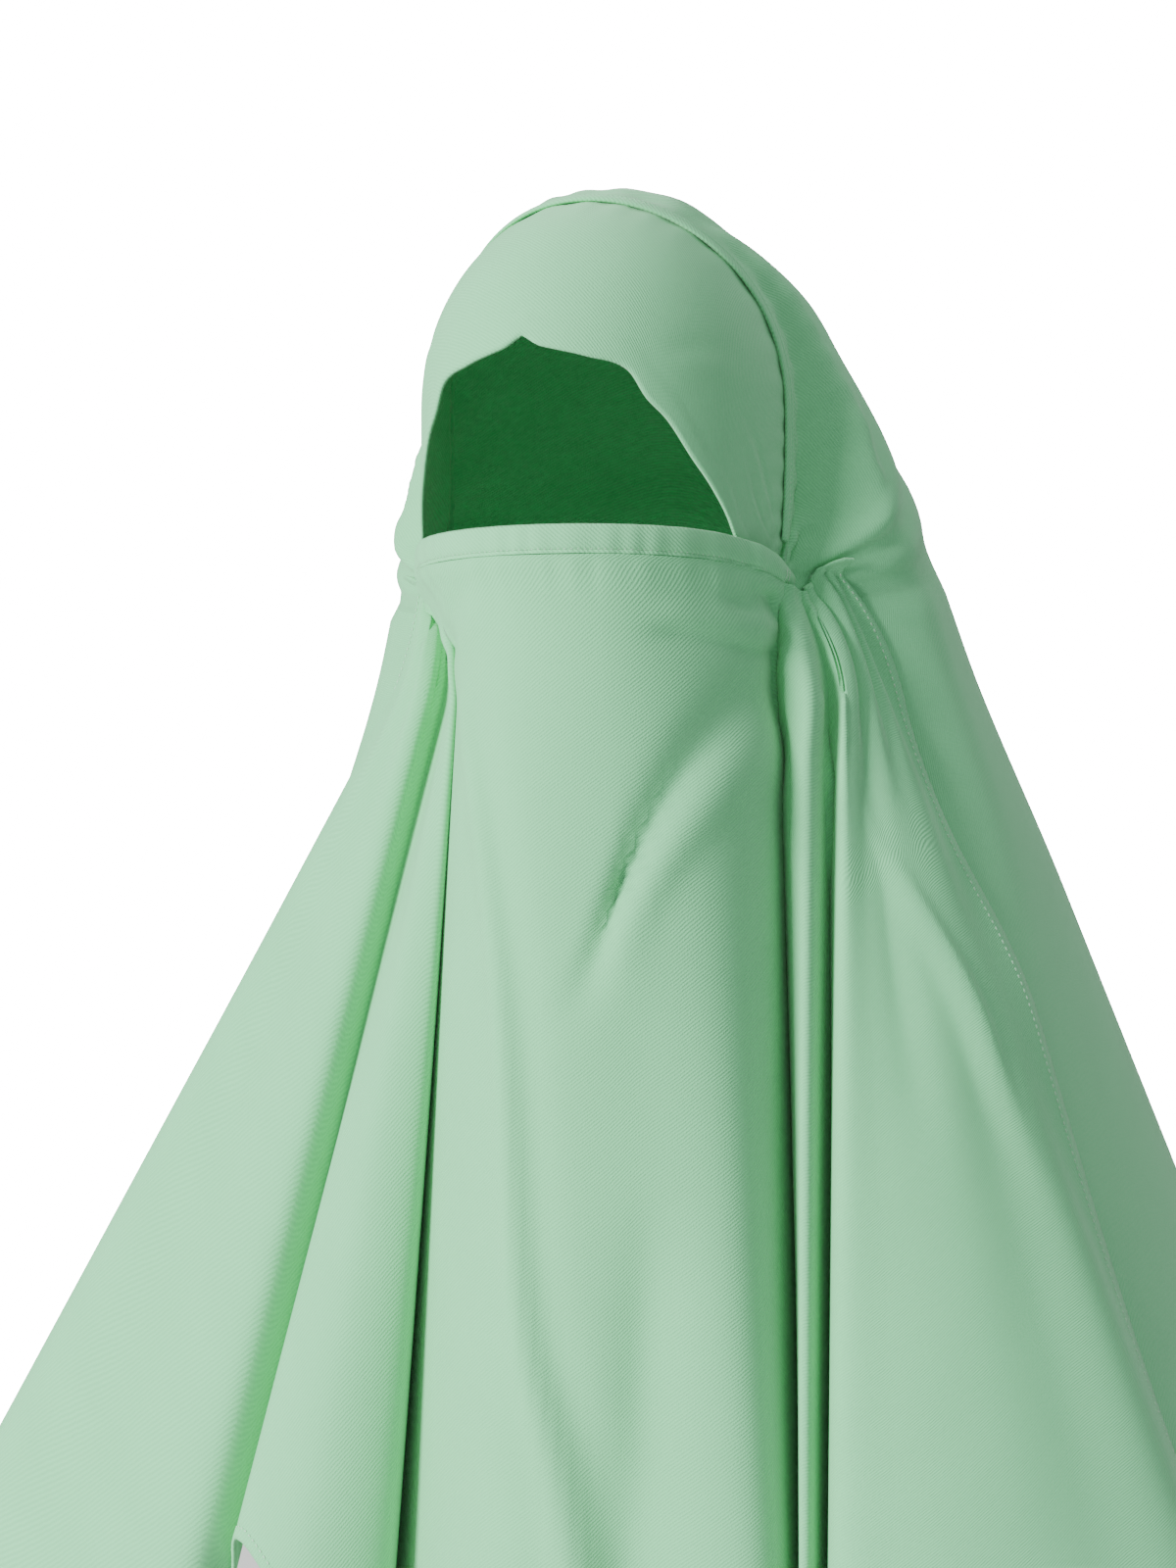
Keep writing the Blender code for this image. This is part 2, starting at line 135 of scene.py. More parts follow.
def build_weave_group():
    group = bpy.data.node_groups.new("crepe weave", "ShaderNodeTree")
    group.interface.new_socket("Cut", in_out="INPUT", socket_type="NodeSocketVector")
    group.interface.new_socket("Dye", in_out="INPUT", socket_type="NodeSocketColor")
    group.interface.new_socket("Turn", in_out="INPUT", socket_type="NodeSocketFloat")
    group.interface.new_socket("Colour", in_out="OUTPUT", socket_type="NodeSocketColor")
    group.interface.new_socket("Height", in_out="OUTPUT", socket_type="NodeSocketFloat")
    nodes, links = group.nodes, group.links
    given = nodes.new("NodeGroupInput")
    result = nodes.new("NodeGroupOutput")

    turned = nodes.new("ShaderNodeVectorRotate")
    turned.rotation_type = "Z_AXIS"
    links.new(given.outputs["Cut"], turned.inputs["Vector"])
    links.new(given.outputs["Turn"], turned.inputs["Angle"])
    parts = nodes.new("ShaderNodeSeparateXYZ")
    links.new(turned.outputs["Vector"], parts.inputs["Vector"])

    def noise(scale, detail):
        node = nodes.new("ShaderNodeTexNoise")
        node.inputs["Scale"].default_value = scale
        node.inputs["Detail"].default_value = detail
        links.new(given.outputs["Cut"], node.inputs["Vector"])
        return node.outputs["Fac"]

    def math_node(kind, first, second):
        node = nodes.new("ShaderNodeMath")
        node.operation = kind
        for socket, value in zip(node.inputs, (first, second)):
            if isinstance(value, (int, float)):
                socket.default_value = value
            elif value is not None:
                links.new(value, socket)
        return node.outputs["Value"]

    pebbles = noise(PEBBLES_PER_METRE, 2.0)
    slubs = noise(PEBBLES_PER_METRE / 7, 1.0)
    dye_cloud = noise(DYE_PER_METRE, 3.0)
    wander = math_node("MULTIPLY", slubs, 2.2)
    phase = math_node("ADD", math_node("MULTIPLY", parts.outputs["Y"], 2 * math.pi / TWILL_PITCH), wander)
    line = math_node("SINE", phase, None)
    height = math_node("ADD", math_node("MULTIPLY", line, 0.32), pebbles)
    links.new(height, result.inputs["Height"])

    shade = math_node("ADD", math_node("MULTIPLY", line, 0.06), math_node("MULTIPLY", pebbles, 0.10))
    shade = math_node("ADD", shade, math_node("MULTIPLY", dye_cloud, 0.10))
    shade = math_node("ADD", shade, 0.90)
    tint = nodes.new("ShaderNodeVectorMath")
    tint.operation = "SCALE"
    links.new(given.outputs["Dye"], tint.inputs["Vector"])
    links.new(shade, tint.inputs["Scale"])
    links.new(tint.outputs["Vector"], result.inputs["Colour"])
    return group


crepe_weave = build_weave_group()


def crepe(name, dye, turn):
    material = bpy.data.materials.new(name)
    material.use_nodes = True
    nodes, links = material.node_tree.nodes, material.node_tree.links
    shader = nodes["Principled BSDF"]
    shader.inputs["Roughness"].default_value = 0.88
    shader.inputs["Specular IOR Level"].default_value = 0.22
    shader.inputs["Sheen Weight"].default_value = 0.25
    shader.inputs["Sheen Roughness"].default_value = 0.5
    cut = nodes.new("ShaderNodeUVMap")
    cut.uv_map = "cut"
    weave = nodes.new("ShaderNodeGroup")
    weave.node_tree = crepe_weave
    weave.inputs["Dye"].default_value = dye
    weave.inputs["Turn"].default_value = turn
    relief = nodes.new("ShaderNodeBump")
    relief.inputs["Strength"].default_value = 0.85
    relief.inputs["Distance"].default_value = 0.00022
    links.new(cut.outputs["UV"], weave.inputs["Cut"])
    links.new(weave.outputs["Colour"], shader.inputs["Base Color"])
    links.new(weave.outputs["Height"], relief.inputs["Height"])
    links.new(relief.outputs["Normal"], shader.inputs["Normal"])
    return material


def sewing_thread():
    material = bpy.data.materials.new("sage sewing thread")
    material.use_nodes = True
    nodes, links = material.node_tree.nodes, material.node_tree.links
    shader = nodes["Principled BSDF"]
    shader.inputs["Roughness"].default_value = 0.6
    place = nodes.new("ShaderNodeTexCoord")
    plies = nodes.new("ShaderNodeTexNoise")
    plies.inputs["Scale"].default_value = 2600.0
    shades = nodes.new("ShaderNodeValToRGB")
    shades.color_ramp.elements[0].color = [value * 0.75 for value in THREAD_COLOUR[:3]] + [1.0]
    shades.color_ramp.elements[1].color = THREAD_COLOUR
    links.new(place.outputs["Object"], plies.inputs["Vector"])
    links.new(plies.outputs["Fac"], shades.inputs["Fac"])
    links.new(shades.outputs["Color"], shader.inputs["Base Color"])
    return material


body_crepe = crepe("sage crepe", SAGE, TWILL_ANGLE)
band_crepe = crepe("sage crepe, bands", SAGE_BAND, -TWILL_ANGLE)
thread = sewing_thread()

# Brow band
# A smooth panel over forehead and temples, cut from the same crepe and laid double. Its front edge is
# turned in around the eyes; its back edge is sewn, a little gathered, under the hood's edge band.
WALL = 0.0014
SEAM_GAP = 0.0003
LAYER = WALL + SEAM_GAP
HEAD_HALF_WIDTH = 0.0765
HEAD_FRONT_REACH = 0.0965
DOME_DEPTH = 0.090
EAR_DROP = 0.156
EAR_SET_FORWARD = 0.012
ARCH_CROWN_LEAN = math.radians(13.0)
ARCH_EAR_LEAN = math.radians(-6.0)
ARCH_ROUNDNESS = 4.5
SHORTEST_ARM = 0.025
BAND_TUCK = 0.005
BAND_COLUMNS = 150
BROW_RINGS = 40
PUCKER_PITCH = 0.0085
PUCKER_DEPTH = 0.00035
PUCKER_FADE = 0.011
BROW_HEM = 0.007
BROW_HEM_RISE = 0.00035

# How far the brow edge leans forward of the upright, by angle up from the ear axis, in degrees
BROW_ROWS = (
    # rise, lean
    (1.5, 165.0),
    (8.0, 118.0),
    (16.0, 100.0),
    (24.0, 81.0),
    (30.0, 68.0),
    (38.0, 60.0),
    (47.5, 55.0),
    (56.5, 50.5),
    (63.0, 49.0),
    (68.5, 46.2),
    (77.0, 47.2),
    (86.0, 47.0),
    (90.0, 45.2),
)


def blend(low, high, share):
    return low + (high - low) * share


def ease(share):
    share = min(max(share, 0.0), 1.0)
    return share * share * share * (share * (6.0 * share - 15.0) + 10.0)


def bell(distance, width):
    return math.exp(-((distance / width) ** 2))


def read_rows(rows, column, at, key=lambda value: value):
    """A smooth curve through one column of a table, read at a value of the first column."""
    knots = [key(row[0]) for row in rows]
    values = [row[column] for row in rows]
    at = min(max(key(at), knots[0]), knots[-1])
    index = 0
    while index < len(rows) - 2 and at > knots[index + 1]:
        index += 1
    slopes = []
    for place in (index, index + 1):
        before = max(place - 1, 0)
        after = min(place + 1, len(rows) - 1)
        slopes.append((values[after] - values[before]) / (knots[after] - knots[before]))
    span = knots[index + 1] - knots[index]
    share = (at - knots[index]) / span
    return (
        values[index] * (1 + 2 * share) * (1 - share) ** 2
        + slopes[0] * span * share * (1 - share) ** 2
        + values[index + 1] * share**2 * (3 - 2 * share)
        - slopes[1] * span * share**2 * (1 - share)
    )


def head_form(stand_off):
    """A test for the space inside the head, grown on all sides by a stand-off."""

    def inside_head(point):
        drop = stand_off - LAYER - point.z
        if drop <= 0.0:
            return False
        share = 1.0
        if drop < DOME_DEPTH + stand_off:
            share = 1.0 - (1.0 - drop / (DOME_DEPTH + stand_off)) ** 2
        side = (point.x / (HEAD_HALF_WIDTH + stand_off)) ** 2
        return side + (point.y / (HEAD_FRONT_REACH + stand_off)) ** 2 < share

    return inside_head


def reach(start, direction, inside):
    """Distance from a point inside a form to its surface."""
    near, far = 0.0, 1.0
    for _ in range(22):
        middle = (near + far) / 2
        if inside(start + direction * middle):
            near = middle
        else:
            far = middle
    return near


def fan_direction(rise, lean):
    """Direction from the ear axis: rise turns up from +X, lean tips forward from the upright."""
    return Vector((math.cos(rise), -math.sin(rise) * math.sin(lean), math.sin(rise) * math.cos(lean)))


ear_centre = Vector((0.0, -EAR_SET_FORWARD, -EAR_DROP))


def head_point(rise, lean, stand_off):
    direction = fan_direction(rise, lean)
    return ear_centre + direction * reach(ear_centre, direction, head_form(stand_off))


def arch_lean(rise):
    return blend(ARCH_EAR_LEAN, ARCH_CROWN_LEAN, math.sin(rise) ** ARCH_ROUNDNESS)


def lean_of_width(rise, width):
    """The lean that spans a width of cloth at this rise, on the head."""
    arm = head_point(rise, arch_lean(rise), 0.0) - ear_centre
    return width / max(arm.length * math.sin(rise), SHORTEST_ARM)


def fan_columns(first_rise, count):
    first = math.radians(first_rise)
    return [blend(first, math.pi - first, column / count) for column in range(count + 1)]


def cut_lengths(rows):
    """The place of each point in the flat cloth: across from the middle column, and down from the top row."""
    middle = len(rows[0]) // 2
    across, down = [], []
    below = [0.0] * len(rows[0])
    for index, row in enumerate(rows):
        run = [0.0]
        for before, after in zip(row, row[1:]):
            run.append(run[-1] + (after - before).length)
        across.append([value - run[middle] for value in run])
        if index:
            steps_down = [(point - above).length for point, above in zip(row, rows[index - 1])]
            below = [depth + step for depth, step in zip(below, steps_down)]
        down.append(below)
    return across, down


def sew(name, rows, material, wall):
    """A sheet of cloth through rows of points, with its wall on the outer side."""
    across, down = cut_lengths(rows)
    shape = bmesh.new()
    made = bmesh.ops.create_grid(shape, x_segments=len(rows[0]) - 1, y_segments=len(rows) - 1, size=0.5)
    cut = shape.loops.layers.uv.new("cut")
    places = {}
    for index, corner in enumerate(made["verts"]):
        ring, column = divmod(index, len(rows[0]))
        corner.co = rows[ring][column]
        places[corner] = (across[ring][column], -down[ring][column])
    for face in shape.faces:
        face.smooth = True
        for loop in face.loops:
            loop[cut].uv = places[loop.vert]
    mesh = bpy.data.meshes.new(name)
    shape.to_mesh(mesh)
    shape.free()
    mesh.materials.append(material)
    piece = bpy.data.objects.new(name, mesh)
    bpy.context.scene.collection.objects.link(piece)
    thickness = piece.modifiers.new("wall", "SOLIDIFY")
    thickness.thickness = wall
    thickness.offset = 1.0
    thickness.use_quality_normals = True
    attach(piece, "root")
    return piece


def brow_point(rise, share):
    up = math.degrees(min(rise, math.pi - rise))
    open_lean = math.radians(read_rows(BROW_ROWS, 1, up))
    tucked = arch_lean(rise) - lean_of_width(rise, BAND_TUCK)
    point = head_point(rise, blend(tucked, open_lean, share), 0.0)
    arm = (point - ear_centre).length * math.sin(rise)
    from_seam = (open_lean - tucked) * share * arm
    from_edge = (open_lean - tucked) * (1.0 - share) * arm
    pucker = math.cos(rise * HEAD_HALF_WIDTH * 2 * math.pi / PUCKER_PITCH + 1.7 * math.sin(9.0 * rise))
    relief = PUCKER_DEPTH * pucker * bell(from_seam - BAND_TUCK, PUCKER_FADE)
    relief += BROW_HEM_RISE * (1.0 - ease((from_edge - BROW_HEM) / 0.0012))
    for _, at_rise, at_share, turn, length, width, depth in BAND_CREASES:
        along = (math.degrees(rise) - at_rise) * math.cos(turn) + (share - at_share) * 60.0 * math.sin(turn)
        beside = (share - at_share) * 60.0 * math.cos(turn) - (math.degrees(rise) - at_rise) * math.sin(turn)
        relief -= depth * bell(along, length) * (bell(beside, width) - 0.6 * bell(beside - 2 * width, width))
    return point + fan_direction(rise, blend(tucked, open_lean, share)) * relief


# Soft creases that fan out from the temples over the brow, placed by rise in degrees and share of its width
BAND_CREASES = (
    # name, rise, share, turn, length, width, depth
    ("temple, long", 27.0, 0.40, 0.45, 13.0, 1.6, 0.0006),
    ("temple, low", 21.0, 0.55, 0.25, 9.0, 1.3, 0.0005),
    ("brow, left", 58.0, 0.62, 1.05, 11.0, 1.8, 0.0005),
    ("brow, right", 118.0, 0.55, -1.0, 10.0, 1.8, 0.0004),
)

brow_rises = fan_columns(BROW_ROWS[0][0], BAND_COLUMNS)
brow_rows = [[brow_point(rise, ring / BROW_RINGS) for rise in brow_rises] for ring in range(BROW_RINGS + 1)]
brow_band = sew("brow_panel", brow_rows, band_crepe, WALL)
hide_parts("brow_band")

# Hood edge band
# A straight strip folded in half and sewn along the hood's front edge, from ear to ear over the crown.
# One row of topstitching runs along its middle.
EDGE_BAND_WIDTH = 0.0065
EDGE_BAND_RISE = 6.0
EDGE_RINGS = 18
EDGE_CROWN = 0.0008
STITCH_PITCH = 0.0026
STITCH_LENGTH = 0.0020
STITCH_WIDTH = 0.00075
STITCH_LIFT = STITCH_WIDTH * 0.15


def edge_band_point(rise, share, lift=0.0):
    lean = arch_lean(rise) - lean_of_width(rise, EDGE_BAND_WIDTH * share)
    groove = 1.0 - 0.8 * bell(share - 0.5, 0.10)
    crown = EDGE_CROWN * groove * math.sin(math.pi * share) ** 0.5
    return head_point(rise, lean, LAYER) + fan_direction(rise, lean) * (crown + lift)


def stitch_row(name, path, facing, pitch=STITCH_PITCH, length=STITCH_LENGTH):
    """Single stitches of thread along a path, each flat on the cloth; facing gives the outward way."""
    shape = bmesh.new()
    travelled, due = 0.0, pitch / 2
    for index in range(len(path) - 1):
        start, end = path[index], path[index + 1]
        step = (end - start).length
        while step > 0.0 and travelled + step >= due:
            place = start.lerp(end, (due - travelled) / step)
            tangent = (end - start).normalized()
            outward = facing(index, place).normalized()
            bead = bmesh.ops.create_icosphere(shape, subdivisions=1, radius=0.5)["verts"]
            beside = outward.cross(tangent).normalized()
            outward = tangent.cross(beside)
            for corner in bead:
                along, across, up = corner.co * 1.0
                corner.co = (place + tangent * along * length + beside * across * STITCH_WIDTH
                             + outward * up * STITCH_WIDTH)
            due += pitch
        travelled += step
    bmesh.ops.recalc_face_normals(shape, faces=shape.faces)
    mesh = bpy.data.meshes.new(name)
    shape.to_mesh(mesh)
    shape.free()
    mesh.shade_smooth()
    mesh.materials.append(thread)
    piece = bpy.data.objects.new(name, mesh)
    bpy.context.scene.collection.objects.link(piece)
    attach(piece, "root")
    return piece


edge_rises = fan_columns(EDGE_BAND_RISE, BAND_COLUMNS)
edge_rows = []
for ring in range(EDGE_RINGS + 1):
    edge_rows.append([edge_band_point(rise, 1.0 - ring / EDGE_RINGS) for rise in edge_rises])
edge_band = sew("hood_front_band", edge_rows, band_crepe, WALL)
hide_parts("hood_edge_band")
edge_path = [edge_band_point(rise, 0.5, WALL + STITCH_LIFT) for rise in edge_rises]
stitch_row("front_band_stitches", edge_path, lambda index, place: place - ear_centre)

# Veil casing
# A narrow tunnel of doubled crepe across the nose with elastic in it, so it puckers, most at its ends.
# Its ends are caught under the gathers at the ears, and its lower edge is topstitched to the front cloth.
CASING_DROP = 0.148
CASING_WIDTH = 0.0106
CASING_DIP = 0.014
CASING_TURN = math.radians(85.0)
OVERLAP_TURN = math.radians(62.0)
CASING_COLUMNS = 260
CASING_RINGS = 22
CASING_SWELL = 0.0009
CASING_PUCKERS = 46
CASING_PUCKER_DEPTH = 0.00055
CASING_STITCH_PLACE = 0.83


def casing_line(turn, low):
    """Top or, with low as 1, bottom line of the casing, as a drop below the crown."""
    share = min(abs(turn) / CASING_TURN, 1.0)
    width = CASING_WIDTH * (1.0 - 0.45 * share**8)
    return CASING_DROP + CASING_DIP * share**6 + width * low


def face_point(turn, drop, lift=0.0):
    """On the face at a turn: over the brow band, and at the ears over the hood's edge too."""
    stand_off = LAYER * (1.0 + 1.6 * ease((abs(turn) - OVERLAP_TURN) / (CASING_TURN - OVERLAP_TURN) * 2.0))
    return Vector(
        (
            (HEAD_HALF_WIDTH + stand_off + lift) * math.sin(turn),
            -(HEAD_FRONT_REACH + stand_off + lift) * math.cos(turn),
            -drop,
        )
    )


def casing_point(turn, low, lift=0.0):
    share = abs(turn) / CASING_TURN
    swell = CASING_SWELL * math.sin(math.pi * min(low / CASING_STITCH_PLACE, 1.0)) ** 0.6
    groove = 0.0003 * bell(low - CASING_STITCH_PLACE, 0.05)
    puckers = math.cos(CASING_PUCKERS * turn + 1.3 * math.sin(11.0 * turn)) * (0.35 + 0.65 * share**3)
    relief = swell - groove + CASING_PUCKER_DEPTH * puckers * (0.5 + 0.5 * low)
    return face_point(turn, casing_line(turn, low), relief + lift)


casing_shares = [column / CASING_COLUMNS for column in range(CASING_COLUMNS + 1)]
casing_turns = [blend(CASING_TURN, -CASING_TURN, share) for share in casing_shares]
casing_rows = []
for ring in range(CASING_RINGS + 1):
    casing_rows.append([casing_point(turn, ring / CASING_RINGS) for turn in casing_turns])
casing = sew("nose_casing", casing_rows, band_crepe, WALL)
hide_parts("veil_casing")
casing_path = [casing_point(turn, CASING_STITCH_PLACE, WALL + STITCH_LIFT) for turn in casing_turns]
stitch_row("casing_stitches", casing_path, lambda index, place: Vector((place.x, place.y, 0.0)))

# Hood and cape
# One large cloth from behind the edge band over the crown and down the back to a narrow hem. It leaves
# the head just behind the seam, falls free below the nape and opens in soft flutes.
HOOD_DEPTH = 0.117
HOOD_HALF_WIDTH = 0.112
HOOD_HALF_DEPTH = 0.126
HOOD_SET_BACK = 0.033
CAPE_LENGTH = 0.680
CAPE_HALF_WIDTH = 0.318
CAPE_HALF_DEPTH = 0.224
CAPE_SET_BACK = 0.096
CAPE_SIDE_RISE = 0.050
EAR_GATHER = 0.020
PUFF_REACH = 0.035
PUFF_FALL = 0.200
PUFF_LIFT = 0.030
EDGE_FLAT = 0.003
EDGE_SEAM = 0.0008
FLUTE_COUNT = 7
FLUTE_DEPTH = 0.013
SIDE_LEAD = math.radians(1.5)
EDGE_MARGIN = math.radians(4.0)
DRAPE_CLEARANCE = 0.0029
DRAPE_SOFTNESS = 0.006
HOOD_COLUMNS = 190
DOME_RINGS = 46
CAPE_RINGS = 84
HEM_WIDTH = 0.005
HEM_RISE = 0.00045
HEM_STEP = 0.0010
EAR_CREASE_COUNT = 4.0
EAR_CREASE_DEPTH = 0.0022
EAR_CREASE_REACH = 0.055

# Dome of the hood: drop from the crown, half width, half depth and set-back, as shares of the hood's own
HOOD_ROWS = (
    # drop, width, depth, set_back
    (0.000, 0.000, 0.000, 0.00),
    (0.034, 0.268, 0.286, 0.00),
    (0.085, 0.357, 0.397, 0.00),
    (0.150, 0.437, 0.492, 0.06),
    (0.214, 0.527, 0.595, 0.18),
    (0.368, 0.679, 0.762, 0.39),
    (0.564, 0.786, 0.873, 0.61),
    (0.769, 0.884, 0.952, 0.85),
    (1.000, 1.000, 1.000, 1.00),
)

# Cape: drop below the dome as a share of its length, and how much of the way from hood size to hem size
CAPE_ROWS = (
    # drop, width, depth, set_back
    (0.000, 0.000, 0.000, 0.00),
    (0.076, 0.058, 0.194, 0.19),
    (0.160, 0.126, 0.347, 0.40),
    (0.313, 0.286, 0.561, 0.71),
    (0.545, 0.529, 0.724, 0.84),
    (1.000, 1.000, 1.000, 1.00),
)


def hood_section(drop):
    """Half width, half depth and set-back of the hood and cape at a drop below the crown."""
    if drop <= HOOD_DEPTH:
        shares = [read_rows(HOOD_ROWS, column, drop / HOOD_DEPTH, math.sqrt) for column in (1, 2, 3)]
        return HOOD_HALF_WIDTH * shares[0], HOOD_HALF_DEPTH * shares[1], HOOD_SET_BACK * shares[2]
    share = (drop - HOOD_DEPTH) / (CAPE_LENGTH - HOOD_DEPTH)
    shares = [read_rows(CAPE_ROWS, column, share) for column in (1, 2, 3)]
    return (
        blend(HOOD_HALF_WIDTH, CAPE_HALF_WIDTH, shares[0]),
        blend(HOOD_HALF_DEPTH, CAPE_HALF_DEPTH, shares[1]),
        blend(HOOD_SET_BACK, CAPE_SET_BACK, shares[2]),
    )


def inside_hood(point):
    if point.z >= 0.0:
        return False
    half_width, half_depth, set_back = hood_section(-point.z)
    return (point.x / half_width) ** 2 + ((point.y - set_back) / half_depth) ** 2 < 1.0


def puff_near_ear(back, lift):
    """How far the cloth has left the head, by its distance behind and above or below the ear."""
    upright = lift / PUFF_LIFT if lift > 0.0 else lift / PUFF_FALL
    return ease(math.hypot(back / PUFF_REACH, upright))


def ear_creases(share, from_ear):
    """Small folds of the hood that run together at the ear, where the gathers catch it."""
    fade = bell(from_ear - 0.012, EAR_CREASE_REACH) * ease(from_ear / 0.02)
    return EAR_CREASE_DEPTH * fade * math.sin(2 * math.pi * EAR_CREASE_COUNT * share**0.7) * ease(share * 5.0)


def dome_point(rise, share):
    """Hood over the head: share runs from the front edge to the level of the ears."""
    edge = arch_lean(rise) - lean_of_width(rise, EDGE_BAND_WIDTH + EDGE_SEAM)
    lean = blend(edge, -math.pi / 2, share)
    direction = fan_direction(rise, lean)
    on_head = reach(ear_centre, direction, head_form(LAYER))
    on_hood = max(reach(ear_centre, direction, inside_hood), on_head)
    arm = on_head * math.sin(rise)
    back = arm * math.sin(-lean)
    lift = arm * math.cos(lean)
    from_edge = (edge - lean) * arm
    puff = min(puff_near_ear(back, lift), ease((from_edge - EDGE_FLAT) * 3.0 / PUFF_REACH))
    pucker = math.cos(rise * HEAD_HALF_WIDTH * 2 * math.pi / PUCKER_PITCH + 2.1 * math.sin(7.0 * rise))
    relief = 1.6 * PUCKER_DEPTH * pucker * bell(from_edge - 0.006, PUCKER_FADE)
    relief += max(ear_creases(share, arm), -0.6 * EAR_CREASE_DEPTH)
    point = ear_centre + direction * (blend(on_head, on_hood, puff) + relief * ease(from_edge / 0.003))
    point.z -= EAR_GATHER * share * abs(math.cos(rise)) ** 10
    return point


def across_ellipse(angle, half_width, half_depth, set_back):
    """Distance along a level line from the ear axis to an ellipse about the vertical axis."""
    side, back = math.cos(angle), math.sin(angle)
    offset = -EAR_SET_FORWARD - set_back
    square = (side / half_width) ** 2 + (back / half_depth) ** 2
    half = back * offset / half_depth**2
    rest = (offset / half_depth) ** 2 - 1.0
    return (-half + math.sqrt(max(half * half - square * rest, 0.0))) / square


def cape_reach(angle, drop):
    """Distance from the ear axis to the cape along a level line; angle turns back from +X."""
    on_head = across_ellipse(angle, HEAD_HALF_WIDTH + LAYER, HEAD_FRONT_REACH + LAYER, 0.0)
    on_hood = max(across_ellipse(angle, *hood_section(drop)), on_head)
    back = max(on_head * math.sin(angle), 0.0)
    return blend(on_head, on_hood, puff_near_ear(back, EAR_DROP - drop))


def side_lead(drop):
    """How far in front of the ear axis the cape's side edge lies, as an angle."""
    return SIDE_LEAD * ease((drop - EAR_DROP) / EAR_DROP)


def cape_point(rise, share):
    """Cape below the ears: share runs from the level of the ears to the hem."""
    top = EAR_DROP + EAR_GATHER * abs(math.cos(rise)) ** 10
    hem = CAPE_LENGTH - CAPE_SIDE_RISE * abs(math.cos(rise)) ** 3
    drop = blend(top, hem, share)
    lead = side_lead(drop)
    angle = blend(-lead, math.pi + lead, rise / math.pi)
    distance = cape_reach(angle, drop)
    distance += FLUTE_DEPTH * share**1.3 * math.sin(rise) ** 2 * math.cos(rise * 2 * FLUTE_COUNT)
    arm = (HEAD_HALF_WIDTH + LAYER) * math.sin(rise)
    crease = max(ear_creases(1.0, arm), -0.6 * EAR_CREASE_DEPTH) * bell(drop - top, 0.02)
    turned_up = HEM_RISE * (1.0 - ease((hem - drop - HEM_WIDTH) / HEM_STEP))
    distance += crease + turned_up
    return Vector((distance * math.cos(angle), -EAR_SET_FORWARD + distance * math.sin(angle), -drop))


def shares_with_hem(count, length, power=1.0):
    """Even steps down a cloth, and close ones at its turned-up hem."""
    even = [(index / count) ** power for index in range(count + 1)]
    start = 1.0 - (HEM_WIDTH + 0.0016) / length
    kept = [share for share in even if share < start - 0.25 / count]
    hem_steps = (0.0, 0.0006, 0.0011, 0.0016, 0.0030, 0.0044)
    return kept + [start + step / length for step in hem_steps] + [1.0]


hood_rises = [math.pi * column / HOOD_COLUMNS for column in range(HOOD_COLUMNS + 1)]
cape_shares = shares_with_hem(CAPE_RINGS, CAPE_LENGTH - EAR_DROP)
hood_rows = [[dome_point(rise, (ring / DOME_RINGS) ** 1.5) for rise in reversed(hood_rises)]
             for ring in range(DOME_RINGS + 1)]
hood_rows += [[cape_point(rise, share) for rise in reversed(hood_rises)] for share in cape_shares[1:]]
hood = sew("hood_and_cape", hood_rows, body_crepe, WALL)
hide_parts("hood_cape")

# Front cloth
# One wide cloth sewn under the casing. It hangs straight from the nose, runs into deep slots beside the
# cheeks, and is gathered to a point behind each ear, from where its sides fall over the cape.
FRONT_LENGTH = 0.655
NECK_DROP = 0.215
NECK_HALF_WIDTH = 0.120
NECK_REACH = 0.095
HEM_LEVEL = 0.620
HEM_HALF_WIDTH = 0.335
HEM_REACH = 0.115
GATHER_TURN = math.radians(100.0)
GATHER_WIDTH = 0.012
GATHER_RISE = 0.014
GATHER_FLARE = 0.90
FRONT_RINGS = 120
FOLD_STEP = 0.0055
TOP_PUCKER_DEPTH = 0.00045
PLEAT_COUNT = 5.0
PLEAT_DEPTH = 0.0022
PLEAT_FALL = 0.070

